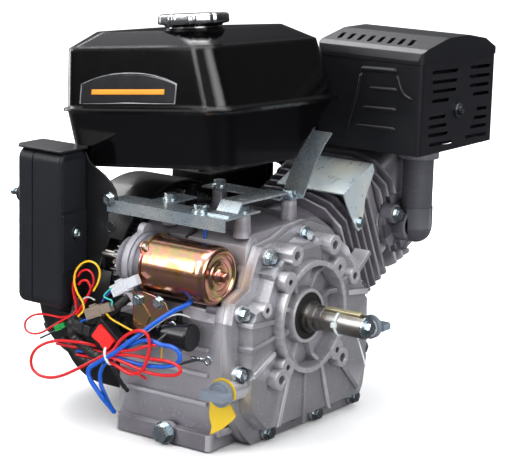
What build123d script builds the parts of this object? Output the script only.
from build123d import *
import math
import os

# Horizontal-shaft single-cylinder petrol engine with electric start, as separate pieces in place.
# Frame: origin on the crankshaft axis at the machined power-take-off face, +Z up, -Y out of the
# power-take-off side, +Y towards the flywheel, +X towards the cylinder, which leans CYL_DEG
# above the horizontal. Millimetres.

os.makedirs("parts", exist_ok=True)

# ================================================================ driving dimensions
# base and crankcase
SHAFT_H = 133.5  # crankshaft axis above the base
BASE_T = 18.0
BASE_X0, BASE_X1 = -124.0, 120.0
BASE_Y0, BASE_Y1 = 47.0, 177.0
FOOT_DX, FOOT_DY, FOOT_R = 195.5, 105.0, 5.5
CASE_Y0, CASE_Y1 = 41.0, 180.0
CHAMBER_Y1 = 166.0
FLANGE_Y0, FLANGE_Y1 = 28.0, 40.0

# cylinder; DECK and the other stations are distances from the crankshaft along its axis
CYL_DEG = 25.0
CYL_Y = 97.0
BORE_R = 45.0
DECK = 186.0
GASKET_T = 1.2
HEAD_BASE = DECK + GASKET_T
HEAD_SIDE, HEAD_CORNER = 118, 12
FLOOR = 230  # floor of the rocker chamber
COVER_SEAT = 266  # valve cover on the rocker chamber
PIVOT = 272.0  # rocker pin

# crank train
STROKE = 66.0
THROW = STROKE / 2
ROD_L = 118.0
PIN_POS = THROW + ROD_L
SHAFT_R = 12.7
SHAFT_OUT = 66.0
JOURNAL_R = 17.5
KEY_DEG = 15

# power-take-off face
PILOT_R = 62.0
INNER_PCD, INNER_R = 133.0, 3.4
OUTER_R = 5.1

# gears, and the (x, z) places of their shafts
GEAR_M = 2.0
MESH_BACKLASH, START_BACKLASH = 0.16, 0.3
T_CRANK, T_CAM, T_BAL = 24, 48, 36
T_RING, T_PINION = 112, 12
START_X, START_Z = -110.0, 57.24
START = (START_X, START_Z)
CAM = CAM_X, CAM_Z = 64.0, -33.0
BAL = BAL_X, BAL_Z = -20.0, -69.2

# valve train: places across the bore as (along Y, up across the fins)
VALVE_DY = 16.0
ROD_RISE, PIVOT_RISE, VALVE_RISE = -57.0, -30.0, -3.0
VALVES = [(-VALVE_DY, VALVE_RISE), (VALVE_DY, VALVE_RISE)]
PUSHRODS = [(-VALVE_DY, ROD_RISE), (VALVE_DY, ROD_RISE)]
HEAD_BOLTS = [(-46.5, 34), (46.5, 34), (-46.5, -42), (46.5, -42)]
VALVE_COVER_BOLTS = [(-55, 43), (55, 43), (-55, -77), (55, -77)]

# shared places outside the block
PORT_X, PORT_Z = 202, 68
PORT = (PORT_X, PORT_Z)  # (x, z) of the intake and exhaust ports
PIPE = (222, 12)  # (x, y) of the upright exhaust pipe
DEFLECTOR_BOSS = (122, 82)  # (x, z)
PIPE_BOLTS = [(190, 82), (236, 56)]  # (x, z)
DRAIN = (104, -122)  # (y, z) on the -X side
FILLER_Y, LEFT_FILLER_Z, RIGHT_FILLER_Z = 28, -63, -48
TANK_TILT_Y, TANK_TILT_X = 6.0, 2.0

COS_CYL = math.cos(math.radians(CYL_DEG))
SIN_CYL = math.sin(math.radians(CYL_DEG))
CUT = Mode.SUBTRACT


# ================================================================ planes
def at_y(y):
    """Plane across the crankshaft at Y = y: local x is +X, local y is +Z, normal is -Y."""
    return Plane(origin=(0, y, 0), x_dir=(1, 0, 0), z_dir=(0, -1, 0))


def at_z(z):
    """Level plane at Z = z."""
    return Plane.XY.offset(z)


def at_x(x):
    """Plane at X = x: local x is +Y, local y is +Z, normal is +X."""
    return Plane(origin=(x, 0, 0), x_dir=(0, 1, 0), z_dir=(1, 0, 0))


def on_bore(station):
    """Plane square to the cylinder axis: local x is +Y, local y is up across the fins."""
    return Plane(
        origin=(COS_CYL * station, CYL_Y, SIN_CYL * station),
        x_dir=(0, 1, 0),
        z_dir=(COS_CYL, 0, SIN_CYL),
    )


def along(y):
    """Plane across the crankshaft at Y = y, local x along the cylinder, normal -Y."""
    return Plane(origin=(0, y, 0), x_dir=(COS_CYL, 0, SIN_CYL), z_dir=(0, -1, 0))


def bore_point(station, y, rise):
    """Point at a station along the cylinder, Y = y, rise up across the fins."""
    return (
        COS_CYL * station - SIN_CYL * rise,
        y,
        SIN_CYL * station + COS_CYL * rise,
    )


BORE_AXIS = Axis(origin=(0, 0, 0), direction=(COS_CYL, 0, SIN_CYL))


# ================================================================ solids
# Each helper draws on a plane, extrudes depth along its normal (against it if negative) and
# joins the result to the open part, or cuts it away. No points means the plane's origin.
def extrude_at(plane, depth, points, draw, hole=0.0, taper=0.0, mode=Mode.ADD):
    """Extrude what draw() draws at each point, less a round hole of radius hole."""
    with BuildSketch(plane) as sketch:
        with Locations(*(points or [(0, 0)])):
            draw()
            if hole:
                Circle(hole, mode=Mode.SUBTRACT)
    extrude(sketch.sketch, amount=depth, taper=taper, mode=mode)


def disc(plane, depth, radius, *points, **options):
    extrude_at(plane, depth, points, lambda: Circle(radius), **options)


def bore(plane, depth, radius, *points):
    disc(plane, depth, radius, *points, mode=CUT)


def hexagon(plane, depth, radius, *points, **options):
    """Hexagonal prism; the radius is to the corners."""
    extrude_at(plane, depth, points, lambda: RegularPolygon(radius, 6), **options)


def block(plane, depth, size, corner, *points, turn=0, **options):
    """Rectangle of (width, height) with rounded corners, or square ones if corner is 0."""

    def draw():
        if corner:
            RectangleRounded(*size, corner, rotation=turn)
        else:
            Rectangle(*size, rotation=turn)

    extrude_at(plane, depth, points, draw, **options)


def pocket(plane, depth, size, corner, *points):
    block(plane, depth, size, corner, *points, mode=CUT)


def bars(plane, depth, table):
    """Rectangles from rows of (x, y, width, height, turn in degrees), drawn as one sketch."""
    with BuildSketch(plane) as sketch:
        for x, y, width, height, turn in table:
            with Locations((x, y)):
                Rectangle(width, height, rotation=turn)
    extrude(sketch.sketch, amount=depth)


def slab(plane, depth, outline, mode=Mode.ADD):
    """Closed polygon."""
    with BuildSketch(plane) as sketch:
        with BuildLine():
            Polyline(*outline, close=True)
        make_face()
    extrude(sketch.sketch, amount=depth, mode=mode)


def ball(centre, radius):
    with BuildSketch(Plane(origin=centre)) as half:
        with BuildLine():
            CenterArc((0, 0), radius, -90, 180)
            Line((0, radius), (0, -radius))
        make_face()
    revolve(half.sketch, axis=Axis(centre, (0, 1, 0)))


def section(plane, size, corner, centre=(0, 0)):
    """Rounded rectangle as a section for a loft."""
    with BuildSketch(plane) as sketch:
        with Locations(centre):
            RectangleRounded(*size, corner)
    return sketch.sketch


def hex_bolts(seat, points, thread, grip, washer=0.0):
    """Flange-head hex bolts on a seat plane, heads along its normal, shanks grip deep."""
    if washer:
        disc(seat, 1.6, washer, *points)
        seat = seat.offset(1.6)
    disc(seat, thread * 0.2, thread * 1.08, *points)
    hexagon(seat, thread * 0.8, thread * 0.86, *points)
    disc(seat, -grip, thread / 2 - 0.12, *points)


def bearing(point):
    """Angle of a point as seen from the crankshaft, in radians."""
    return math.atan2(point[1], point[0])


def gear_points(teeth, backlash, turn, centre, steps=5):
    """Outline of an involute spur gear, its flanks thinned by half the backlash each."""
    pressure = math.radians(20)
    pitch_r = teeth * GEAR_M / 2
    base_r = pitch_r * math.cos(pressure)
    tip_r, root_r = pitch_r + GEAR_M * 0.95, pitch_r - GEAR_M * 1.25
    half_tooth = (math.pi * GEAR_M / 2 - backlash) / (2 * pitch_r)
    involute = math.tan(pressure) - pressure

    def half_angle(radius):
        angle = math.acos(base_r / max(radius, base_r))
        return half_tooth + involute - (math.tan(angle) - angle)

    start_r = max(base_r, root_r)
    radii = [start_r + (tip_r - start_r) * i / steps for i in range(steps + 1)]
    root = min(0.02, (math.pi / teeth - half_angle(start_r)) * 0.5)
    flanks = [(r, -half_angle(r)) for r in radii]
    flanks += [(r, half_angle(r)) for r in reversed(radii)]
    if root_r < start_r - 0.01:
        foot = half_angle(start_r) + root
        flanks = [(root_r, -foot)] + flanks + [(root_r, foot)]
    points = []
    for k in range(teeth):
        middle = turn + 2 * math.pi * k / teeth
        for r, angle in flanks:
            x = centre[0] + r * math.cos(middle + angle)
            points.append((x, centre[1] + r * math.sin(middle + angle)))
    return points


def spur_gear(y, width, teeth, backlash, turn, centre=(0, 0), hole=0.0):
    """Spur gear whose +Y face is at y, with an optional round hole."""
    with BuildSketch(at_y(y)) as gear:
        with BuildLine():
            Polyline(*gear_points(teeth, backlash, turn, centre), close=True)
        make_face()
        if hole:
            with Locations(centre):
                Circle(hole, mode=Mode.SUBTRACT)
    extrude(gear.sketch, amount=width)


def flywheel_taper(gap, mode):
    """Tapered seat of the flywheel on the crankshaft, its radius grown by gap."""
    ends = []
    for y, radius in ((214, 12), (182, 15)):
        with BuildSketch(at_y(y)) as end:
            Circle(radius + gap)
        ends.append(end.sketch)
    loft(sections=ends, mode=mode)


def strip(points, half):
    """Outline of a bent sheet of thickness twice half along a polyline."""
    left, right = [], []
    for i, (x, y) in enumerate(points):
        before_x, before_y = points[max(i - 1, 0)]
        after_x, after_y = points[min(i + 1, len(points) - 1)]
        if 0 < i < len(points) - 1:
            into = (x - before_x, y - before_y)
            out = (after_x - x, after_y - y)
            into_l, out_l = math.hypot(*into), math.hypot(*out)
            normal = (-(into[1] / into_l + out[1] / out_l), into[0] / into_l + out[0] / out_l)
            length = math.hypot(*normal)
            normal = (normal[0] / length, normal[1] / length)
            mitre = (-into[1] / into_l) * normal[0] + (into[0] / into_l) * normal[1]
            reach = half / max(0.4, mitre)
        else:
            run = (after_x - before_x, after_y - before_y)
            length = math.hypot(*run)
            normal, reach = (-run[1] / length, run[0] / length), half
        left.append((x + normal[0] * reach, y + normal[1] * reach))
        right.append((x - normal[0] * reach, y - normal[1] * reach))
    return left + right[::-1]


def save(piece, name):
    piece.part.label = name
    export_step(piece.part, f"parts/{name}.step")


# ================================================================ castings
# outlines across the crankshaft, (x, z)
CASE_OUTLINE = [
    (-113, -118), (-113, 6), (-107, 18), (-84, 26), (-75, 40), (-74, 84), (-62, 96),
    (20, 98), (58, 96), (96, 74), (128, 30), (138, 4), (141, -72), (130, -118),
]
CASE_INNER = [
    (-104, -110), (-104, 0), (-98, 10), (-76, 18), (-66, 36), (-63, 66), (-48, 84),
    (20, 89), (52, 86), (88, 64), (116, 28), (127, 0), (130, -68), (120, -110),
]
COVER_OUTLINE = [
    (-113, -52), (-108, -98), (-74, -133), (126, -133), (134, -118), (142, -74),
    (139, 4), (130, 18), (104, 56), (62, 86), (26, 99), (-4, 97), (-32, 88),
    (-64, 84), (-76, 60), (-84, 40), (-108, 30), (-113, 8),
]
COVER_DOME = [
    (-100, -50), (-95, -92), (-68, -118), (116, -118), (123, -106), (129, -72),
    (126, 0), (116, 14), (92, 46), (54, 74), (22, 86), (-4, 85), (-28, 77),
    (-54, 72), (-64, 50), (-74, 28), (-98, 20), (-100, 4),
]
COVER_HOLLOW = [
    (-93, -48), (-89, -88), (-66, -110), (110, -110), (116, -102), (122, -72),
    (119, -2), (110, 10), (86, 40), (50, 67), (20, 79), (-4, 78), (-26, 70),
    (-48, 65), (-57, 46), (-68, 22), (-91, 13), (-93, 2),
]
COVER_BOLTS = [
    (-54, 72), (12, 87), (127, 4), (-100, 18.5), (-103.5, -47), (-48.5, -124),
    (43, -124), (118, -122), (132, -66),
]
OUTER_BOSSES = [(-58.4, -58.4), (58.4, -58.4), (-36, 74.3), (36, 74.3)]
RIGHT_BOSS = (84, 30)
LEFT_BOSS = (-75, 20)
# bracket posts: x, y, height of the top
POST_BASE = 92
POSTS = [(-66, 52, 117.5), (22, 54, 120), (-66, 150, 117.5), (22, 150, 120)]
# fin of the barrel on a plane across the bore
BARREL_FIN = [
    (-66, -72), (-66, 34), (-50, 56), (-24, 66), (40, 66), (66, 44),
    (66, -72), (52, -80), (-52, -80),
]
FOOT_C = ((BASE_X0 + BASE_X1) / 2, (BASE_Y0 + BASE_Y1) / 2)
FOOT_HOLES = [
    (FOOT_C[0] + side_x * FOOT_DX / 2, FOOT_C[1] + side_y * FOOT_DY / 2)
    for side_x in (-1, 1)
    for side_y in (-1, 1)
]
BASE_TOP = -SHAFT_H + BASE_T

with BuildPart() as crankcase:
    # box of the crank chamber, joint flange towards the side cover, base plate
    slab(at_y(CASE_Y1), CASE_Y1 - CASE_Y0, CASE_OUTLINE)
    slab(at_y(CASE_Y0 + 10), 10, COVER_OUTLINE)
    block(at_z(-SHAFT_H), BASE_T, (BASE_X1 - BASE_X0, BASE_Y1 - BASE_Y0), 5, FOOT_C)
    # cylinder barrel, deck and fins
    disc(on_bore(100), DECK - 100, 57)
    block(on_bore(177), DECK - 177, (HEAD_SIDE, HEAD_SIDE), HEAD_CORNER)
    for station in range(116, 177, 12):
        slab(on_bore(station), 3.0, BARREL_FIN)
    # casting round the push-rod tunnels
    block(on_bore(84), DECK - 84, (52, 20), 9, (0, ROD_RISE))
    # crank chamber
    slab(at_y(CHAMBER_Y1), CHAMBER_Y1 - CASE_Y0, CASE_INNER, mode=CUT)
    # skirt of the barrel and tappet guides inside the chamber
    with BuildSketch(on_bore(90)):
        Circle(53.5)
        with Locations((0, ROD_RISE)):
            RectangleRounded(52, 20, 9)
    extrude(amount=32)
    # bracket posts on the top
    for x, y, top in POSTS:
        disc(at_z(POST_BASE), top - POST_BASE, 10, (x, y), taper=4)
    # boss along -Y that carries the heat deflector
    disc(at_y(90), 62, 8.5, DEFLECTOR_BOSS)
    # boss of the flywheel-side main bearing, bosses of the cam and balancer journals
    disc(at_y(CASE_Y1), CASE_Y1 - 150, 46)
    disc(at_y(170), 18, 14, CAM, BAL)
    bore(at_y(172), 21, 8.05, CAM, BAL)
    bore(at_y(167), 17.01, 36)
    bore(at_y(CASE_Y1 + 1), 40, 26)
    # bore for the liner, push-rod tunnels, head bolt holes
    bore(on_bore(60), DECK - 59, 49)
    bore(on_bore(60), DECK - 59, 6, *PUSHRODS)
    bore(on_bore(156), DECK - 155, 5.1, *HEAD_BOLTS)
    # bosses and holes of the cover bolts
    disc(at_y(CASE_Y0 + 24), 24, 9.4, *COVER_BOLTS)
    bore(at_y(CASE_Y0 + 21), 22, 4.0, *COVER_BOLTS)
    # side ribs below the starter
    for z in (-24, -52, -84):
        block(at_x(-117), 6, (110, 4), 0, (112, z))
    # room for the side cover
    with BuildSketch(at_y(CASE_Y0)):
        with BuildLine():
            Polyline(*COVER_OUTLINE, close=True)
        make_face()
        offset(amount=1.2, kind=Kind.INTERSECTION)
    extrude(amount=30, mode=Mode.SUBTRACT)
    # cradle for the starter motor
    bore(at_y(146), 100, 32.8, START)
    # drain boss
    disc(at_x(-127), 10, 10.5, DRAIN)
    bore(at_x(-128), 22, 6.1, DRAIN)
    # foot holes, with room for bolt heads above them
    bore(at_z(-SHAFT_H - 1), BASE_T + 2, FOOT_R, *FOOT_HOLES)
    bore(at_z(BASE_TOP), 22, 11, *FOOT_HOLES)
save(crankcase, "crankcase")

with BuildPart() as cylinder_liner:
    disc(on_bore(90), DECK - 90, 48.98, hole=BORE_R)
save(cylinder_liner, "cylinder_liner")

# bars of the side cover: x, z, width, height, turn
RING_ARMS = [(62, 22, 46, 7, 20), (104, 38, 40, 6, 38), (100, 8, 40, 6, -8)]
TOP_ARMS = [
    (-36, 66, 14, 24, 0), (36, 66, 14, 24, 0), (0, 78, 62, 7, 0), (-50, 62, 34, 7, 30),
]
RADIAL_RIBS = [
    (-80, 6, 44, 5, -4), (-80, -16, 44, 5, 10), (-78, -40, 44, 5, 26),
    (-40, -90, 5, 60, -18), (0, -92, 5, 62, 0), (40, -90, 5, 60, 18),
    (84, -84, 5, 62, 44), (92, -36, 56, 5, -22),
]

with BuildPart() as side_cover:
    # flange and dome, hollowed in two steps
    slab(at_y(FLANGE_Y1), FLANGE_Y1 - FLANGE_Y0, COVER_OUTLINE)
    with BuildSketch(at_y(FLANGE_Y0)):
        with BuildLine():
            Polyline(*COVER_DOME, close=True)
        make_face()
    extrude(amount=16, taper=12)
    slab(at_y(FLANGE_Y1 + 1), 14, COVER_HOLLOW, mode=CUT)
    with BuildSketch(at_y(28)):
        with BuildLine():
            Polyline(*COVER_HOLLOW, close=True)
        make_face()
        offset(amount=-8, kind=Kind.INTERSECTION)
    extrude(amount=11, mode=Mode.SUBTRACT)
    # pilot ring with its four threaded ears
    with BuildSketch(at_y(26)):
        Circle(PILOT_R)
        with Locations((-47, 47), (47, 47), (-47, -47), (47, -47)):
            Circle(11.5)
    extrude(amount=26)
    disc(at_y(30), 30, 11, *OUTER_BOSSES)
    disc(at_y(30), 26, 9.5, RIGHT_BOSS)
    # arms from the outer bosses to the ring, ribs of the left, lower and right sides
    bars(at_y(28), 20, RING_ARMS)
    bars(at_y(28), 17, TOP_ARMS)
    bars(at_y(28), 19, RADIAL_RIBS)
    disc(at_y(28), 19, 8, LEFT_BOSS)
    # bowl, hub, ribs inside the bowl
    bore(at_y(20), 21, 56.5)
    disc(at_y(22), 14, 31, taper=6)
    for degrees in (20, 62, 118, 160, 205, 250, 290, 335):
        rib_cos, rib_sin = math.cos(math.radians(degrees)), math.sin(math.radians(degrees))
        rib_plane = Plane(
            origin=(0, 0, 0), x_dir=(rib_cos, 0, rib_sin), z_dir=(-rib_sin, 0, rib_cos)
        )
        with BuildSketch(rib_plane):
            with BuildLine():
                Polyline((28, 22), (58, 22), (58, 5), (50, 13), (28, 14), close=True)
            make_face()
        extrude(amount=2.5, both=True)
    # bearing boss and journal bosses on the inside, bosses under the flange bolts
    disc(at_y(42), 22, 43)
    disc(at_y(42), 24, 13, CAM, BAL)
    disc(at_y(FLANGE_Y1), FLANGE_Y1 - 24, 9.4, *COVER_BOLTS)
    # necks of the two oil fillers
    disc(at_x(-126), 30, 11.8, (FILLER_Y, LEFT_FILLER_Z))
    disc(at_x(126), 28, 11.8, (FILLER_Y, RIGHT_FILLER_Z))
    bore(at_x(-130), 54, 7, (FILLER_Y, LEFT_FILLER_Z))
    bore(at_x(104), 52, 7, (FILLER_Y, RIGHT_FILLER_Z))
    # oil seal, shaft passage, main bearing, journals
    bore(at_y(17.2), 12, 26)
    bore(at_y(26), 20, 19.5)
    bore(at_y(43), 19, 36)
    bore(at_y(43), 18, 8.05, CAM, BAL)
    # bolt holes of the power-take-off face
    with BuildSketch(at_y(18)):
        with PolarLocations(INNER_PCD / 2, 4, start_angle=45):
            Circle(INNER_R)
    extrude(amount=19, mode=Mode.SUBTRACT)
    bore(at_y(22), 23, OUTER_R, *OUTER_BOSSES)
    bore(at_y(22), 20, 4.2, RIGHT_BOSS)
    bore(at_y(18), 12, 3.2, LEFT_BOSS)
    # flange bolt holes and room for the heads
    bore(at_y(FLANGE_Y1 + 1), 20, 4.3, *COVER_BOLTS)
    bore(at_y(24), 24, 8.9, *COVER_BOLTS)
save(side_cover, "side_cover")

with BuildPart() as gaskets:
    # side cover gasket
    with BuildSketch(at_y(CASE_Y0)):
        with BuildLine():
            Polyline(*COVER_OUTLINE, close=True)
        make_face()
        with BuildLine():
            Polyline(*COVER_HOLLOW, close=True)
        make_face(mode=Mode.SUBTRACT)
        with Locations(*COVER_BOLTS):
            Circle(4.5, mode=Mode.SUBTRACT)
    extrude(amount=CASE_Y0 - FLANGE_Y1)
    # head gasket
    with BuildSketch(on_bore(DECK)):
        RectangleRounded(HEAD_SIDE, HEAD_SIDE, HEAD_CORNER)
        Circle(46.5, mode=Mode.SUBTRACT)
        with Locations(*HEAD_BOLTS):
            Circle(5.2, mode=Mode.SUBTRACT)
        with Locations(*PUSHRODS):
            Circle(6, mode=Mode.SUBTRACT)
    extrude(amount=GASKET_T)
save(gaskets, "gaskets")

with BuildPart() as side_cover_bolts:
    hex_bolts(at_y(24), COVER_BOLTS, thread=8, grip=34)
save(side_cover_bolts, "side_cover_bolts")

SEAL_R, SEAL_W = 25.98, 8
with BuildPart() as oil_seals:
    for y in (9, 170):
        disc(at_y(y + SEAL_W), SEAL_W, SEAL_R, hole=21)
        # sealing lip
        disc(at_y(y + 2), 2, SEAL_R, hole=17.56)
save(oil_seals, "oil_seals")

BEARING_W, BEARING_GAP = 17, 0.2
BALL_COUNT, BALL_R, BALL_CIRCLE = 9, 3.7, 26.75
with BuildPart() as main_bearings:
    for y in (24.2, 150.0):
        face = at_y(y + BEARING_W - BEARING_GAP)
        width = BEARING_W - 2 * BEARING_GAP
        disc(face, width, 35.98, hole=30.5)
        disc(face, width, 23, hole=17.52)
        for k in range(BALL_COUNT):
            angle = 2 * math.pi * k / BALL_COUNT
            x, z = BALL_CIRCLE * math.cos(angle), BALL_CIRCLE * math.sin(angle)
            ball((x, y + BEARING_W / 2, z), BALL_R)
save(main_bearings, "main_bearings")

SPARK_PLUG = Plane(
    origin=bore_point(191, CYL_Y + 22, 14), z_dir=(0.55 * COS_CYL, 0.83, 0.55 * SIN_CYL)
)
ROCKER_BOX = (0, -17)  # centre of the rocker chamber across the bore
ROCKER_BOX_SIZE, ROCKER_BOX_CORNER = (124, 134), 16


def hollow_rocker_chamber():
    pocket(on_bore(FLOOR), 37, (112, 122), 11, ROCKER_BOX)


with BuildPart() as cylinder_head:
    block(on_bore(HEAD_BASE), 10, (HEAD_SIDE, HEAD_SIDE), HEAD_CORNER)
    block(on_bore(HEAD_BASE), 228 - HEAD_BASE, (104, 104), 10)
    # fins: station, lowest edge, half width
    for station, low, wide in ((200, -82, 66), (211.5, -84, 68), (223, -86, 70)):
        head_fin = [
            (-wide, -74), (-wide, 30), (-50, 54), (-26, 62), (40, 62),
            (wide, 40), (wide, -74), (52, low), (-52, low),
        ]
        slab(on_bore(station), 3.0, head_fin)
    # rocker chamber, cleared again after each flange that runs into it
    block(on_bore(226), 40, ROCKER_BOX_SIZE, ROCKER_BOX_CORNER, ROCKER_BOX)
    hollow_rocker_chamber()
    # intake flange towards +Y
    block(at_y(163), 30, (64, 44), 10, PORT)
    hollow_rocker_chamber()
    # clearance for the exhaust flange on the -Y side and for the insulator on the +Y side
    pocket(at_y(36), 14, (74, 72), 20, (212, 68))
    pocket(at_y(163.1), -12, (72, 54), 10, PORT)
    # exhaust flange towards -Y
    block(at_y(60), 24, (60, 38), 14, (204, 66))
    hollow_rocker_chamber()
    # trim the flanges level with the gasket face
    pocket(on_bore(130), HEAD_BASE - 130, (260, 260), 0)
    # combustion recess, exhaust port, intake port
    bore(on_bore(HEAD_BASE - 1), 8, 38, (0, -1))
    bore(at_y(CYL_Y - VALVE_DY), 60, 11, PORT)
    bore(at_y(CYL_Y + VALVE_DY), -60, 12, PORT)
    # valve throats, valve guides, push-rod passages, bolt holes
    bore(on_bore(HEAD_BASE + 5), 20, 12.5, *VALVES)
    bore(on_bore(HEAD_BASE + 5), 50, 3.15, *VALVES)
    bore(on_bore(HEAD_BASE - 1), 60, 6, *PUSHRODS)
    bore(on_bore(HEAD_BASE - 1), 50, 5.2, *HEAD_BOLTS)
    # cross pin carrying the rocker arms, on three lugs
    pivot_x, _, pivot_z = bore_point(PIVOT, 0, PIVOT_RISE)
    disc(at_y(CYL_Y + 38), 76, 4, (pivot_x, pivot_z))
    for lug_y in (-34, 0, 34):
        block(on_bore(229), PIVOT + 6 - 229, (6, 13), 0, (lug_y, PIVOT_RISE))
    # spark plug hole on the +Y side, inclined to the chamber, and its spot face
    bore(SPARK_PLUG, 60, 7.2)
    bore(SPARK_PLUG.offset(35.5), 40, 13)
save(cylinder_head, "cylinder_head")

with BuildPart() as valve_cover:
    block(on_bore(COVER_SEAT), 4, ROCKER_BOX_SIZE, ROCKER_BOX_CORNER, ROCKER_BOX)
    block(on_bore(COVER_SEAT + 4), 24, (106, 112), 16, (0, -18), taper=4)
    fillet(valve_cover.edges().group_by(BORE_AXIS)[-1], 7)
    block(on_bore(COVER_SEAT - 1), 25, (100, 106), 12, (0, -18), taper=4, mode=CUT)
    bore(on_bore(COVER_SEAT - 1), 6, 3.2, *VALVE_COVER_BOLTS)
save(valve_cover, "valve_cover")

with BuildPart() as head_bolts:
    hex_bolts(on_bore(FLOOR), HEAD_BOLTS, thread=8, grip=68)
    hex_bolts(on_bore(COVER_SEAT + 4), VALVE_COVER_BOLTS, thread=6, grip=3.5)
save(head_bolts, "head_bolts")

with BuildPart() as spark_plug:
    # threaded body, hexagon, insulator, terminal
    disc(SPARK_PLUG.offset(6), 30, 6.9)
    hexagon(SPARK_PLUG.offset(36), 14, 11)
    disc(SPARK_PLUG.offset(50), 24, 6.5)
    disc(SPARK_PLUG.offset(74), 8, 3.5)
save(spark_plug, "spark_plug")

# ================================================================ crank train
# round lengths of the crankshaft: +Y end, -Y end, radius
CRANK_LENGTHS = [
    (-6, -SHAFT_OUT, SHAFT_R), (2, -6, 14.5), (62.5, 2, JOURNAL_R),
    (182, 131.5, JOURNAL_R), (242, 213.9, 9),
]
# counterweight on a plane along the cylinder
COUNTERWEIGHT = [
    (0, 0), (-26, 45), (-40, 33), (-50, 14), (-52, 0), (-50, -14), (-40, -33), (-26, -45),
]
# timing gears lie on the cover side, balancer gears on the flywheel side
TIMING_Y, BALANCE_Y, GEAR_W = 57, 147, 11

with BuildPart() as crankshaft:
    for y1, y0, radius in CRANK_LENGTHS:
        disc(at_y(y1), y1 - y0, radius)
    flywheel_taper(gap=0, mode=Mode.ADD)
    # webs with counterweights
    for y in (80, 132):
        with BuildSketch(along(y)):
            Circle(30)
            with Locations((THROW, 0)):
                Circle(20)
            with BuildLine():
                Polyline(*COUNTERWEIGHT, close=True)
            make_face()
            with BuildLine():
                Polyline((0, 28), (THROW, 19), (THROW, -19), (0, -28), close=True)
            make_face()
        extrude(amount=18)
    # gears
    crank_turn = bearing(CAM) + math.pi / T_CRANK
    spur_gear(TIMING_Y, GEAR_W, T_CRANK, MESH_BACKLASH, crank_turn)
    balance_turn = bearing(BAL) + math.pi / T_BAL
    spur_gear(BALANCE_Y, GEAR_W, T_BAL, MESH_BACKLASH, balance_turn)
    # relief groove, keyway and tapped end of the output shaft
    disc(at_y(-14.5), 2, 14, hole=12.2, mode=CUT)
    key = math.radians(KEY_DEG)
    keyway = (-SHAFT_R * math.sin(key), SHAFT_R * math.cos(key))
    block(at_y(-15.5), 60, (6.4, 6.4), 0, keyway, turn=KEY_DEG, mode=CUT)
    bore(at_y(-40), 31, 4.1)
save(crankshaft, "crankshaft")

WASHER_T = 2.4
with BuildPart() as shaft_end_bolt:
    disc(at_y(-SHAFT_OUT), WASHER_T, 12.2, hole=4.3)
    hex_bolts(at_y(-SHAFT_OUT - WASHER_T), [(0, 0)], thread=8, grip=28)
save(shaft_end_bolt, "shaft_end_bolt")

RIM_R = 104
with BuildPart() as flywheel:
    # rim and web, recessed on both faces
    disc(at_y(223), 33, RIM_R)
    disc(at_y(225), 22, 92, hole=26, mode=CUT)
    disc(at_y(189), -8, 86, hole=30, mode=CUT)
    # fan blades
    with BuildSketch(at_y(246)):
        with PolarLocations(88, 16):
            Rectangle(18, 3.5, rotation=28)
    extrude(amount=44)
    # seat on the crankshaft
    flywheel_taper(gap=0.05, mode=CUT)
    bore(at_y(226), 12.5, 12.1)
    # ring gear, a separate solid on the rim
    spur_gear(202, 12, T_RING, START_BACKLASH, bearing(START), hole=RIM_R + 0.02)
    # starter cup, a separate solid on the hub
    disc(at_y(262), 36, 34)
    bore(at_y(263), 33, 31.5)
    bore(at_y(231), 6, 9.1)
    # ratchet windows
    with BuildSketch(at_y(256)):
        with PolarLocations(33, 6):
            Rectangle(8, 12)
    extrude(amount=14, mode=Mode.SUBTRACT)
    # flywheel nut inside the cup
    hexagon(at_y(240), 9.9, 14, hole=9.1)
save(flywheel, "flywheel")

LOBE_OUT, LOBE_R = 8.5, 8
with BuildPart() as camshaft:
    disc(at_y(171), 143, 8, CAM)
    spur_gear(TIMING_Y, GEAR_W, T_CAM, MESH_BACKLASH, bearing(CAM) + math.pi, CAM)
    # lobes of the exhaust and intake: Y of the middle, direction in degrees
    for y, degrees in ((CYL_Y - VALVE_DY, 150), (CYL_Y + VALVE_DY, 245)):
        angle = math.radians(degrees)
        nose_x = CAM_X + LOBE_OUT * math.cos(angle)
        nose_z = CAM_Z + LOBE_OUT * math.sin(angle)
        side_x, side_z = -math.sin(angle), math.cos(angle)
        with BuildSketch(at_y(y + 5)):
            with Locations(CAM):
                Circle(12)
            with Locations((nose_x, nose_z)):
                Circle(LOBE_R)
            with BuildLine():
                Polyline(
                    (CAM_X + 11.5 * side_x, CAM_Z + 11.5 * side_z),
                    (nose_x + 7.8 * side_x, nose_z + 7.8 * side_z),
                    (nose_x - 7.8 * side_x, nose_z - 7.8 * side_z),
                    (CAM_X - 11.5 * side_x, CAM_Z - 11.5 * side_z),
                    close=True,
                )
            make_face()
        extrude(amount=10)
save(camshaft, "camshaft")

WEIGHT_R, WEIGHT_DEG = 17, 155
with BuildPart() as balancer_shaft:
    disc(at_y(171), 143, 8, BAL)
    spur_gear(BALANCE_Y, GEAR_W, T_BAL, MESH_BACKLASH, bearing(BAL) + math.pi, BAL)
    disc(at_y(130), 70, 10.5, BAL)
    # half-round weight
    arc_ends = []
    for degrees in (WEIGHT_DEG + 180, WEIGHT_DEG):
        angle = math.radians(degrees)
        x, z = BAL_X + WEIGHT_R * math.cos(angle), BAL_Z + WEIGHT_R * math.sin(angle)
        arc_ends.append((x, z))
    with BuildSketch(at_y(126)):
        with BuildLine():
            CenterArc(BAL, WEIGHT_R, WEIGHT_DEG, 180)
            Line(*arc_ends)
        make_face()
    extrude(amount=62)
save(balancer_shaft, "balancer_shaft")

PISTON_R = 44.9
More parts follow.
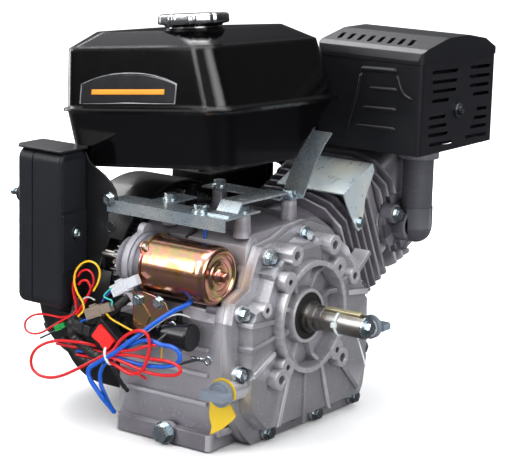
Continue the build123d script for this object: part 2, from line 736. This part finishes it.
# ring grooves: station, width
GROOVES = [(177, 1.6), (171.5, 1.6), (164.5, 3.0)]
RING_PLAY = 0.1  # at each side of a ring
with BuildPart() as piston:
    disc(on_bore(128), 55, PISTON_R)
    bore(on_bore(127), 48, 40)
    # bosses of the wrist pin, parted by room for the rod, then bored
    disc(along(CYL_Y + 42), 84, 16, (PIN_POS, 0))
    pocket(along(CYL_Y + 13.5), 27, (52, 44), 0, (PIN_POS - 8, 0))
    bore(along(CYL_Y + 46), 92, 10.03, (PIN_POS, 0))
    # trim everything to the outside of the piston
    disc(on_bore(100), 100, 90, hole=PISTON_R, mode=CUT)
    # flats at the foot of the skirt clear the timing gear
    pocket(on_bore(127), 16.5, (21.2, 60), 0, (-50, 0), (50, 0))
    for station, width in GROOVES:
        disc(on_bore(station), width, 46, hole=41.5, mode=CUT)
save(piston, "piston")

with BuildPart() as piston_rings:
    for station, width in GROOVES:
        with BuildSketch(on_bore(station + RING_PLAY)):
            Circle(44.96)
            Circle(41.8, mode=Mode.SUBTRACT)
            with Locations((0, 43)):
                Rectangle(0.5, 6, mode=Mode.SUBTRACT)
        extrude(amount=width - 2 * RING_PLAY)
save(piston_rings, "piston_rings")

with BuildPart() as wrist_pin:
    disc(along(CYL_Y + 38), 76, 10, (PIN_POS, 0), hole=6)
save(wrist_pin, "wrist_pin")

SHANK_POCKET = [(THROW + 34, 8.5), (PIN_POS - 20, 5), (PIN_POS - 20, -5), (THROW + 34, -8.5)]
with BuildPart() as connecting_rod:
    with BuildSketch(along(CYL_Y + 12)):
        with Locations((PIN_POS, 0)):
            Circle(15)
        with Locations((THROW, 0)):
            Circle(26)
        with BuildLine():
            Polyline((THROW, 17), (PIN_POS, 9), (PIN_POS, -9), (THROW, -17), close=True)
        make_face()
        with Locations((THROW, 0)):
            Rectangle(26, 62)
        with Locations((PIN_POS, 0)):
            Circle(10.04, mode=Mode.SUBTRACT)
        # the thin rectangle parts the cap from the rod
        with Locations((THROW, 0)):
            Circle(18.04, mode=Mode.SUBTRACT)
            Rectangle(0.4, 80, mode=Mode.SUBTRACT)
    extrude(amount=24)
    for y in (CYL_Y + 12.5, CYL_Y - 5):
        slab(along(y), 7.5, SHANK_POCKET, mode=CUT)
    # crankpin, a separate solid inside the big end
    disc(along(CYL_Y + 16), 32, 18, (THROW, 0))
save(connecting_rod, "connecting_rod")

# ================================================================ valve train
ROCKER_W = 12
ROCKER_ARM = [
    (PIVOT - 2, ROD_RISE - 6), (PIVOT - 2, VALVE_RISE + 6), (PIVOT + 3, VALVE_RISE + 6),
    (PIVOT + 8, PIVOT_RISE), (PIVOT + 3, ROD_RISE - 6),
]
for side, name, valve_r in ((-1, "exhaust", 14.6), (1, "intake", 15.2)):
    dy = side * VALVE_DY
    valve_at = (dy, VALVE_RISE)
    rod_at = (dy, ROD_RISE)

    with BuildPart() as valve:
        # head, cone, stem, spring retainer
        disc(on_bore(191.6), 2.4, valve_r, valve_at)
        disc(on_bore(194), 8, 12, valve_at, taper=42)
        disc(on_bore(194), PIVOT - 2.6 - 194, 3, valve_at)
        disc(on_bore(PIVOT - 9), 3, 10, valve_at)
    save(valve, f"{name}_valve")

    with BuildPart() as pushrod:
        # tappet foot, tappet stem, rod, rounded cap
        disc(on_bore(61.5), 3, 10, rod_at)
        disc(on_bore(64.5), 34, 5.9, rod_at)
        disc(on_bore(98.5), PIVOT - 108.5, 3, rod_at)
        disc(on_bore(PIVOT - 10), 7.4, 4, rod_at)
        fillet(pushrod.edges().group_by(BORE_AXIS)[-1], 3.2)
    save(pushrod, f"{name}_pushrod")

    with BuildPart() as rocker:
        with BuildSketch(along(CYL_Y + dy + ROCKER_W / 2)):
            with Locations((PIVOT, PIVOT_RISE)):
                Circle(9)
            with BuildLine():
                Polyline(*ROCKER_ARM, close=True)
            make_face()
            with Locations((PIVOT, PIVOT_RISE)):
                Circle(4.05, mode=Mode.SUBTRACT)
        extrude(amount=ROCKER_W)
    save(rocker, f"{name}_rocker")

with BuildPart() as valve_springs:
    for side in (-1, 1):
        with BuildLine() as coil:
            Helix(
                pitch=5.4,
                height=23.5,
                radius=7.6,
                center=bore_point(231.5, CYL_Y + side * VALVE_DY, VALVE_RISE),
                direction=(COS_CYL, 0, SIN_CYL),
            )
        with BuildSketch(Plane(coil.line @ 0, z_dir=coil.line % 0)):
            Circle(1.3)
        sweep(path=coil.line, is_frenet=True)
save(valve_springs, "valve_springs")

# ================================================================ exhaust side
PIPE_FLANGE_Y = 35.4
PIPE_BEND_Z, PIPE_BEND_R, GAS_R = 64, 19, 14.5
with BuildPart() as exhaust_pipe:
    # flange, stub along -Y, upright pipe with a ball at its foot
    block(at_y(PIPE_FLANGE_Y), 8, (66, 44), 14, (212, 68), turn=12)
    disc(at_y(30), 18, 18.5, (212, 66))
    disc(at_z(PIPE_BEND_Z), 24, PIPE_BEND_R, PIPE)
    disc(at_z(84), 66, 18, PIPE)
    ball((*PIPE, PIPE_BEND_Z), PIPE_BEND_R)
    # boss of the upper bolt, room for the heads, bolt holes
    disc(at_y(PIPE_FLANGE_Y), 15.4, 11, PIPE_BOLTS[0])
    bore(at_y(20), 40, 9.6, PIPE_BOLTS[0])
    bore(at_y(24), 40, 9.6, PIPE_BOLTS[1])
    bore(at_y(36), 20, 4.3, *PIPE_BOLTS)
    # gas passage
    bore(at_y(36), 24, 12, (210, 67))
    bore(at_z(66), 90, GAS_R, PIPE)
    # collar below the silencer
    disc(at_z(146), 19.6, 23.5, PIPE, hole=GAS_R)
save(exhaust_pipe, "exhaust_pipe")

# box of the muffler cover; the muffler stands inside it
MUF_X0, MUF_X1, MUF_Y0, MUF_Y1, MUF_Z0 = 136.0, 303.0, -40.0, 102.0, 163.0
MUF_W, MUF_D = MUF_X1 - MUF_X0, MUF_Y1 - MUF_Y0
MUF_CX, MUF_CY = (MUF_X0 + MUF_X1) / 2, (MUF_Y0 + MUF_Y1) / 2
with BuildPart() as muffler:
    block(at_z(MUF_Z0 + 5), 92, (MUF_W - 20, MUF_D - 18), 20, (MUF_CX, MUF_CY + 2))
    fillet(muffler.edges().filter_by(GeomType.LINE, reverse=True).group_by(Axis.Z)[-1], 12)
    pocket(at_z(MUF_Z0 + 7), 79, (MUF_W - 24, MUF_D - 22), 18, (MUF_CX, MUF_CY + 2))
    bore(at_z(MUF_Z0 + 4), 6, GAS_R, PIPE)
    # collar over the pipe
    disc(at_z(MUF_Z0 + 3), 2.5, 22, PIPE, hole=GAS_R)
save(muffler, "muffler")

# side view of the cover with its arched lid, (x, z)
COVER_ARCH = [
    (MUF_X0, MUF_Z0), (MUF_X0, 270), (MUF_X0 + 1.5, 278.5), (MUF_X0 + 10, 282.5),
    (MUF_X0 + 56, 292), (MUF_X0 + 101, 292), (MUF_X0 + 138, 285.5), (MUF_X1 - 5, 273.5),
    (MUF_X1, 263), (MUF_X1, MUF_Z0),
]
# louvre slots, four groups round the centre screw: x, z, length
LOUVRES = [
    (188, 254.5, 57), (188, 243.5, 55), (188, 233, 52), (180, 222.5, 38),
    (175, 204, 36), (176, 194, 40), (178, 184, 44), (185, 173, 52),
    (267, 253, 46), (266, 242.5, 46), (266, 232, 44), (270, 221.5, 38),
    (274, 203.5, 24), (271, 193.5, 31), (268, 183.5, 37), (263, 173, 48),
]
SHEET_T = 2.4
with BuildPart() as cover_cavity:
    with BuildSketch(at_y(MUF_Y1 - SHEET_T)):
        with BuildLine():
            Polyline(*COVER_ARCH, close=True)
        make_face()
        offset(amount=-SHEET_T, kind=Kind.INTERSECTION)
        with Locations((MUF_CX, MUF_Z0)):
            Rectangle(MUF_W - 2 * SHEET_T, 10)
    extrude(amount=MUF_D - 2 * SHEET_T)
    fillet(cover_cavity.edges().filter_by(Axis.Z), 6)
with BuildPart() as muffler_cover:
    slab(at_y(MUF_Y1), MUF_D, COVER_ARCH)
    fillet(muffler_cover.edges().filter_by(Axis.Z), 7)
    add(cover_cavity.part, mode=Mode.SUBTRACT)
    # the sides stand in below the lip of the lid
    with BuildSketch(at_z(MUF_Z0 - 6)):
        with Locations((MUF_CX, MUF_CY)):
            Rectangle(MUF_W + 20, MUF_D + 20)
            RectangleRounded(MUF_W - 2.2, MUF_D - 2.2, 6.5, mode=Mode.SUBTRACT)
    extrude(amount=271.5 - MUF_Z0, mode=Mode.SUBTRACT)
    # louvres of the -Y face
    with BuildSketch(at_y(MUF_Y0 + 8)):
        for x, z, length in LOUVRES:
            with Locations((x, z)):
                SlotOverall(length, 3.9, rotation=-2)
    extrude(amount=12, mode=Mode.SUBTRACT)
    # slanted slots of the lid
    with BuildSketch(at_z(300)):
        for k in range(8):
            with Locations((MUF_X0 + 28, -8 + 13.5 * k)):
                SlotOverall(22, 5, rotation=14)
    extrude(amount=-30, mode=Mode.SUBTRACT)
save(muffler_cover, "muffler_cover")

# folded edge of the deflector: (along the cylinder, up across the fins)
DEFLECTOR_FOLD = [
    (130, 71.4), (194, 71.4), (194, 62), (166, 42), (153, 22), (150, 14),
    (140, 14), (137, 22), (132, 50),
]
DEFLECTOR_T = 1.8
with BuildPart() as heat_deflector:
    # sloped shield over the fins, its -Y edge folded down to the boss
    block(on_bore(130), 64, (92, DEFLECTOR_T), 0, (-25, 70.5))
    with BuildSketch(along(27.8)):
        with BuildLine():
            Polyline(*DEFLECTOR_FOLD, close=True)
        make_face()
        with Locations((145.2, 22.7)):
            Circle(3.3, mode=Mode.SUBTRACT)
    extrude(amount=DEFLECTOR_T)
save(heat_deflector, "heat_deflector")

# ================================================================ fuel tank and its bracket
# middle line of the bracket's -Y arm, (x, z)
ARM_LINE = [
    (-104, 121), (-88, 121), (-80, 132), (2, 131), (11, 123),
    (32, 123), (54, 158), (70, 176), (84, 187),
]
BRACKET_T = 2.2
BRACKET_Z = 117.6
with BuildPart() as tank_bracket:
    # -Y arm with its joggle, rising towards +X under the tank
    slab(at_y(70), 28, strip(ARM_LINE, 1.2))
    # pads on the -X posts, plate along -X with its folded edge, plate on the +X posts
    block(at_z(BRACKET_Z), BRACKET_T, (34, 26), 0, (-66, 54), (-66, 150))
    bars(at_z(BRACKET_Z), BRACKET_T, [(-98, 120, 32, 160, 0), (-66, 150, 60, 26, 0)])
    block(at_z(106), 13.8, (BRACKET_T, 160), 0, (-113, 120))
    block(at_z(120.1), BRACKET_T, (30, 108), 0, (22, 110))
    block(at_z(118), 4, (14, 24), 0, (-84, 54))
    bore(at_z(100), 60, 4.3, *[(x, y) for x, y, top in POSTS])
save(tank_bracket, "tank_bracket")

with BuildPart() as bracket_bolts:
    for x, y, top in POSTS:
        seat = 119.9 if top < 119 else (124.3 if y < 80 else 122.4)
        hex_bolts(Plane(origin=(x, y, seat)), [(0, 0)], thread=8, grip=seat - top)
    # heat deflector, bracket plate, exhaust flange, muffler cover, drain plug
    hex_bolts(at_y(26), [DEFLECTOR_BOSS], thread=6, grip=1.7)
    hex_bolts(Plane(origin=(-98, 84, 119.9)), [(0, 0)], thread=8, grip=1.0, washer=10)
    hex_bolts(at_y(20), PIPE_BOLTS[:1], thread=8, grip=15)
    hex_bolts(at_y(24), PIPE_BOLTS[1:], thread=8, grip=11)
    hex_bolts(at_y(MUF_Y0), [(MUF_CX, 208)], thread=5, grip=1.0, washer=8)
    drain_seat = Plane(origin=(-127, *DRAIN), x_dir=(0, 1, 0), z_dir=(-1, 0, 0))
    hex_bolts(drain_seat, [(0, 0)], thread=12, grip=18)
save(bracket_bolts, "bracket_bolts")

cos_x, sin_x = math.cos(math.radians(TANK_TILT_X)), math.sin(math.radians(TANK_TILT_X))
cos_y, sin_y = math.cos(math.radians(TANK_TILT_Y)), math.sin(math.radians(TANK_TILT_Y))
# plane of the tank's seam, tilted
TANK = Plane(
    origin=(-6, 156, 218.3),
    x_dir=(cos_x, 0, -sin_x),
    z_dir=(sin_x * cos_y, cos_x * sin_y, cos_x * cos_y),
)
CAP = (-56.0, -37.0)

# lofts of the tank as pairs of sections: height over the seam, x0, x1, y0, y1, corner radius
TANK_OUTSIDE = [
    [(0, -112, 112, -112, 112, 24), (66, -107, 107, -92, 108, 20)],
    [(66, -107, 107, -92, 108, 20), (83, -88, 88, -64, 88, 30)],
    [(0, -112, 112, -112, 112, 24), (-62, -104, 44, -106, 104, 22)],
]
TANK_INSIDE = [
    [(-0.01, -110, 110, -110, 110, 22), (66, -105, 105, -90, 106, 18)],
    [(65.9, -105, 105, -90, 106, 18), (81, -85, 85, -61, 85, 27)],
    [(0.01, -110, 110, -110, 110, 22), (-60, -102, 42, -104, 102, 20)],
]


def loft_tank(pairs, mode):
    for pair in pairs:
        sections = [
            section(TANK.offset(height), (x1 - x0, y1 - y0), corner, ((x0 + x1) / 2, (y0 + y1) / 2))
            for height, x0, x1, y0, y1, corner in pair
        ]
        loft(sections=sections, mode=mode)


with BuildPart() as fuel_tank:
    loft_tank(TANK_OUTSIDE, Mode.ADD)
    # seam flange with a tab on its +Y side
    with BuildSketch(TANK.offset(-1.6)):
        RectangleRounded(232, 232, 28)
        with Locations((-40, 118)):
            RectangleRounded(60, 22, 6)
    extrude(amount=3.2)
    disc(TANK.offset(60), 25, 31, CAP)
    loft_tank(TANK_INSIDE, CUT)
    # filler neck
    disc(TANK.offset(58), 27, 30, CAP, hole=27.5)
    bore(TANK.offset(50), 40, 27.5, CAP)
save(fuel_tank, "fuel_tank")

with BuildPart() as fuel_cap:
    # fluted rim
    with BuildSketch(TANK.offset(86)):
        with Locations(CAP):
            Circle(38.5)
            with PolarLocations(39.6, 36):
                Circle(2.1, mode=Mode.SUBTRACT)
    extrude(amount=10)
    disc(TANK.offset(95.9), 3, 35.5, CAP, taper=40)
    disc(TANK.offset(74), 13, 26.8, CAP, hole=23)
save(fuel_cap, "fuel_cap")

# ================================================================ intake side
BOWL = (PORT_X, 191)  # (x, y) of the float bowl
FUEL_VALVE = (191, 34)  # (y, z)
THROTTLE_Y, CHOKE_Y = 178, 204
SPINDLES = [(PORT_X, THROTTLE_Y), (PORT_X, CHOKE_Y)]
CARB_FLANGE, CARB_FLANGE_CORNER = (56, 36), 8
with BuildPart() as carburetor:
    # insulator plate, body, +Y flange
    block(at_y(169), 5.8, (62, 42), 9, PORT, hole=12)
    disc(at_y(214), 45, 17, PORT)
    block(at_y(214), 5, CARB_FLANGE, CARB_FLANGE_CORNER, PORT)
    # float bowl, its neck and drain
    disc(at_z(22), 32, 19, BOWL)
    disc(at_z(54), 14, 15, BOWL)
    disc(at_z(14), 9, 5, BOWL)
    # fuel valve body, spindle bosses
    block(at_x(184), -16, (16, 14), 3, FUEL_VALVE)
    disc(at_z(84), 10, 6.5, *SPINDLES)
    # throat, spindle holes
    bore(at_y(215), 60, 11.5, PORT)
    bore(at_z(50), 60, 3.1, *SPINDLES)
save(carburetor, "carburetor")

LEVER_L = 28
for y, top, name, degrees in (
    (THROTTLE_Y, 97, "throttle_lever", 10), (CHOKE_Y, 101, "choke_lever", -20),
):
    with BuildPart() as lever:
        disc(at_z(52), top - 52, 3, (PORT_X, y))
        # the throttle plate closes the throat, the choke plate stands open
        if name == "throttle_lever":
            disc(at_y(y + 0.7), 1.4, 10.9, PORT)
        else:
            disc(at_x(PORT_X - 0.7), 1.4, 9.8, (y, PORT_Z))
        angle = math.radians(degrees)
        arm_x = PORT_X + LEVER_L / 2 * math.cos(angle)
        arm_y = y + LEVER_L / 2 * math.sin(angle)
        with BuildSketch(at_z(top - 3)):
            with Locations((PORT_X, y)):
                Circle(5)
            with Locations((arm_x, arm_y)):
                SlotCenterToCenter(LEVER_L, 9, rotation=degrees)
        extrude(amount=2.5)
    save(lever, name)

AIR = (212, 171)  # (x, y) of the air cleaner's centre
AIR_W, AIR_D, AIR_Z0, AIR_CORNER = 176.0, 130.0, 165.0, 22
AIR_SIZE = (AIR_W, AIR_D)
AIR_WALL = 3
AIR_INNER = (AIR_W - 2 * AIR_WALL, AIR_D - 2 * AIR_WALL)
AIR_INNER_CORNER = AIR_CORNER - AIR_WALL
ELBOW = (PORT_X, 222)  # (x, y) of the upright of the intake elbow
with BuildPart() as air_cleaner_base:
    # tray
    block(at_z(AIR_Z0), 14, AIR_SIZE, AIR_CORNER, AIR)
    pocket(at_z(AIR_Z0 + AIR_WALL), 12, AIR_INNER, AIR_INNER_CORNER, AIR)
    disc(at_z(AIR_Z0 + 2), 10, 9, AIR)
    # intake elbow down to the carburettor, trimmed at its flange
    disc(at_y(232), 17.8, 15, PORT)
    block(at_y(220), 5.8, CARB_FLANGE, CARB_FLANGE_CORNER, PORT)
    disc(at_z(56), AIR_Z0 - 54, 15, ELBOW)
    pocket(at_y(214.1), 30, (80, 160), 0, (PORT_X, 120))
    # air passage
    bore(at_z(60), 120, 12, ELBOW)
    bore(at_y(226), 14, 11, (PORT_X, 72))
    # centre stud
    disc(at_z(AIR_Z0 + 2), 102, 3, AIR)
save(air_cleaner_base, "air_cleaner_base")

with BuildPart() as air_filter:
    disc(at_z(AIR_Z0 + 14.5), 54, 57, AIR, hole=42)
save(air_filter, "air_filter")

with BuildPart() as air_cleaner_cover:
    # walls and sloped top
    block(at_z(AIR_Z0 + 14.2), 56, AIR_SIZE, AIR_CORNER, AIR)
    eaves = section(at_z(AIR_Z0 + 70.2), AIR_SIZE, AIR_CORNER, AIR)
    crown = section(at_z(AIR_Z0 + 90), (AIR_W - 76, AIR_D - 60), 26, AIR)
    loft(sections=[eaves, crown])
    # hollow of the same form
    pocket(at_z(AIR_Z0 + 14), 56, AIR_INNER, AIR_INNER_CORNER, AIR)
    eaves = section(at_z(AIR_Z0 + 69.9), AIR_INNER, AIR_INNER_CORNER, AIR)
    crown = section(at_z(AIR_Z0 + 87), (AIR_W - 84, AIR_D - 68), 22, AIR)
    loft(sections=[eaves, crown], mode=Mode.SUBTRACT)
    bore(at_z(AIR_Z0 + 80), 20, 3.4, AIR)
save(air_cleaner_cover, "air_cleaner_cover")

with BuildPart() as air_cleaner_nut:
    disc(at_z(AIR_Z0 + 90.3), 10, 11, AIR, hole=3.1)
    # wings
    with BuildSketch(at_y(AIR[1] + 2)):
        with Locations((AIR[0], AIR_Z0 + 98)):
            SlotOverall(46, 14)
            Rectangle(7, 16, mode=Mode.SUBTRACT)
    extrude(amount=4)
save(air_cleaner_nut, "air_cleaner_nut")

# ================================================================ flywheel side
BLOWER_INNER_R = 123.4
# open part of the housing's -Y side, (x, z)
BLOWER_OPENING = [(-126, -126), (-126, 126), (48, 126), (48, 14), (161, 14), (161, -126)]
with BuildPart() as blower_housing:
    # drum, duct towards the cylinder, side cut off for the control box
    disc(at_y(262), 74, 126)
    block(at_y(240), 56, (112, 112), 0, (105, 70))
    pocket(at_y(270), 44, (80, 148), 0, (-142, 60))
    # hollow, with a wall left along the cut side
    with BuildSketch(at_y(259.5)):
        Circle(BLOWER_INNER_R)
        with Locations((-140.6, 60)):
            Rectangle(82, 153, mode=Mode.SUBTRACT)
    extrude(amount=75, mode=Mode.SUBTRACT)
    bore(at_y(223.5), 44, BLOWER_INNER_R)
    pocket(at_y(237.5), 55, (107, 107), 0, (105, 70))
    slab(at_y(187), 10, BLOWER_OPENING, mode=CUT)
    # air inlet, clearance hole on the starter axis
    bore(at_y(263), 6, 88)
    bore(at_y(206), 20, 18, START)
save(blower_housing, "blower_housing")

ROPE_Y = 287
ROPE_DIR = (0.9, 0, 0.436)
with BuildPart() as recoil_housing:
    disc(at_y(318), 55.8, 103)
    fillet(recoil_housing.edges().group_by(Axis.Y)[-1], 14)
    bore(at_y(304), 42, 99)
    bore(at_y(314), 52, 88)
    # slots and holes of the +Y face
    with BuildSketch(at_y(320)):
        with PolarLocations(66, 12):
            SlotOverall(40, 8)
        with PolarLocations(88, 24):
            Circle(3.5)
    extrude(amount=8, mode=Mode.SUBTRACT)
    # pulley post and its boss
    disc(at_y(315), 36, 8)
    disc(at_y(316), 8, 20)
    # rope eye
    bore(Plane(origin=(60, ROPE_Y, 36), x_dir=(0, 1, 0), z_dir=ROPE_DIR), 60, 6)
save(recoil_housing, "recoil_housing")

with BuildPart() as recoil_pulley:
    # two flanges, drum, hub, bore
    disc(at_y(293), 3, 72)
    disc(at_y(284), 3, 72)
    disc(at_y(293), 12, 64)
    disc(at_y(284), 17, 28)
    bore(at_y(294), 30, 8.1)
save(recoil_pulley, "recoil_pulley")

with BuildPart() as recoil_handle:
    with BuildSketch(Plane(origin=(128, 254, 66), x_dir=ROPE_DIR, z_dir=(0, 1, 0))):
        SlotOverall(24, 17)
    extrude(amount=66)
    fillet(recoil_handle.edges().group_by(Axis.Y)[0], 5)
    fillet(recoil_handle.edges().group_by(Axis.Y)[-1], 5)
    # neck towards the rope eye
    disc(Plane(origin=(112, ROPE_Y, 58.3), x_dir=(0, 1, 0), z_dir=ROPE_DIR), 12, 6.5)
save(recoil_handle, "recoil_handle")

with BuildPart() as ignition_coil:
    # core, its two legs, feet, lead
    block(at_y(222), 16, (44, 13), 0, (0, 113.5))
    block(at_y(206), 22, (9, 4.4), 0, (-15, 117.8), (15, 117.8))
    block(at_y(187.5), 7.4, (9, 28), 0, (-15, 106), (15, 106))
    disc(at_y(222), 10, 4, (-24, 113.5))
save(ignition_coil, "ignition_coil")

# ================================================================ electric starter
with BuildPart() as starter_motor:
    disc(at_y(145), 82, 32, START)
    fillet(starter_motor.edges().group_by(Axis.Y)[0], 4)
    # stepped end cap: +Y end, -Y end, radius
    for y1, y0, radius in ((68, 58.5, 30.5), (58.6, 53, 26), (53.1, 50, 17)):
        disc(at_y(y1), y1 - y0, radius, START)
    hexagon(at_y(50.1), 5, 7, START)
    # through-bolt heads
    for degrees in (35, 215):
        angle = math.radians(degrees)
        head = (START_X + 21.5 * math.cos(angle), START_Z + 21.5 * math.sin(angle))
        hexagon(at_y(54), 5, 4.6, head)
    bore(at_y(145.1), 77, 29.5, START)
    bore(at_y(69), 12, 5.1, START)
    # terminal post on the body
    disc(Plane(origin=(START_X, 118, START_Z - 31.4), z_dir=(-0.5, 0, -0.866)), 7, 6)
save(starter_motor, "starter_motor")

with BuildPart() as starter_housing:
    # flange with its ears, flared nose
    with BuildSketch(at_y(153)):
        with Locations(START):
            Circle(35.2)
        with Locations((-88.5, 76)):
            RectangleRounded(26, 24, 6)
        with Locations((START_X, START_Z + 34)):
            Circle(9)
    extrude(amount=7.9)
    disc(at_y(169), 17, 25, START, taper=-8)
    bore(at_y(170), 30, 6.2, START)
    bore(at_y(146.5), 3, 28, START)
    bore(at_y(154), 10, 4.2, (-84, 80))
save(starter_housing, "starter_housing")

with BuildPart() as starter_armature:
    disc(at_y(206), 148, 5, START)
    # slotted core
    with BuildSketch(at_y(132)):
        with Locations(START):
            Circle(24)
            with PolarLocations(24, 14):
                Rectangle(5, 2.4, mode=Mode.SUBTRACT)
    extrude(amount=58)
save(starter_armature, "starter_armature")

with BuildPart() as starter_pinion:
    pinion_turn = bearing(START) + math.pi + math.pi / T_PINION
    spur_gear(184, 13, T_PINION, START_BACKLASH, pinion_turn, START, hole=5.06)
save(starter_pinion, "starter_pinion")

RELAY_POSTS = [(-140, -1), (-127, -14)]
with BuildPart() as starter_relay:
    disc(at_y(96), 32, 15, (-133.5, -8))
    fillet(starter_relay.edges().group_by(Axis.Y)[0], 2.5)
    # mounting plate, posts and their nuts
    block(at_y(92), 2.4, (8, 44), 0, (-122, -8))
    disc(at_y(106), 11, 3.4, *RELAY_POSTS)
    hexagon(at_y(104), 4, 6.2, *RELAY_POSTS)
    # voltage regulator beside it, a separate solid
    block(at_x(-134), 16.4, (44, 30), 4, (142, -11))
    hexagon(at_x(-136), 4, 5, (127, -11), (157, -11))
save(starter_relay, "starter_relay")

# ================================================================ control box and switches
BOX = (-137.5, 85)  # (x, z)
KEY_SWITCH = (-140, 117)  # (x, z)
# halves of the box, -Y then +Y: face, depth, outer end's edge group, pocket face, pocket depth
BOX_HALVES = [(267, 40, 0, 268, 38.4), (290, 21.8, -1, 287, 18.8)]
with BuildPart() as control_box:
    for y, depth, outer_end, pocket_y, pocket_depth in BOX_HALVES:
        block(at_y(y), depth, (45, 174), 12, BOX)
        fillet(control_box.edges().group_by(Axis.Y)[outer_end], 5)
        pocket(at_y(pocket_y), pocket_depth, (40, 169), 10, BOX)
    # key switch barrel
    disc(at_y(301), 14, 10, KEY_SWITCH)
    bore(at_y(302), 6, 4, KEY_SWITCH)
    # step on the -Y face
    block(at_y(230), 3.6, (38, 92), 8, (-137.5, 50))
save(control_box, "control_box")

with BuildPart() as ignition_key:
    # shank, collar, bow
    disc(at_y(303), 6, 3.8, KEY_SWITCH)
    disc(at_y(304.5), 3, 8.5, KEY_SWITCH)
    block(at_x(-141.4), 2.8, (15, 19), 6, (311, 117))
save(ignition_key, "ignition_key")

SWITCH_AT, SWITCH_DIR = (-158, 164, -21), (0, 0.8, 0.6)
SWITCH = Plane(origin=SWITCH_AT, x_dir=SWITCH_DIR, z_dir=(-1, 0, 0))
with BuildPart() as switch_housing:
    # body, bezel, opening, three terminals
    block(SWITCH.offset(-15), 14, (30, 21.5), 1.5)
    block(SWITCH.offset(-1.5), 2, (34, 26), 2.5)
    pocket(SWITCH.offset(-9), 12, (27.4, 19), 0)
    block(SWITCH.offset(-21), 7, (1, 5), 0, (-6, 0), (0, 0), (6, 0))
save(switch_housing, "switch_housing")

with BuildPart() as rocker_switch:
    with BuildSketch(Plane(origin=SWITCH_AT, x_dir=SWITCH_DIR, z_dir=(0, -0.6, 0.8))):
        with BuildLine():
            Polyline((-12.8, -4), (12.8, -4), (12.6, 4.2), (0, 1.8), (-12.6, 4.2), close=True)
        make_face()
    extrude(amount=9, both=True)
save(rocker_switch, "rocker_switch")

# ================================================================ oil plugs and fuel valve
for name, x, outward, z in (
    ("left_dipstick", -126.2, -1, LEFT_FILLER_Z), ("right_dipstick", 154.2, 1, RIGHT_FILLER_Z),
):
    with BuildPart() as dipstick:
        seat = Plane(origin=(x, FILLER_Y, z), x_dir=(0, 1, 0), z_dir=(outward, 0, 0))
        # cap, its top and grip bar, then threaded plug and stick inwards
        disc(seat, 6, 14)
        disc(seat.offset(5.9), 4, 10.5)
        block(seat.offset(6), 14, (34, 9), 3)
        disc(seat.offset(0.1), -20, 6.6)
        disc(seat.offset(-19.9), -26, 2.4)
    save(dipstick, name)

with BuildPart() as fuel_valve_lever:
    disc(at_x(163), 4.8, 6, FUEL_VALVE)
    with BuildSketch(at_x(163)):
        with Locations((FUEL_VALVE[0] + 10, FUEL_VALVE[1])):
            SlotOverall(32, 8)
    extrude(amount=3.4)
save(fuel_valve_lever, "fuel_valve_lever")
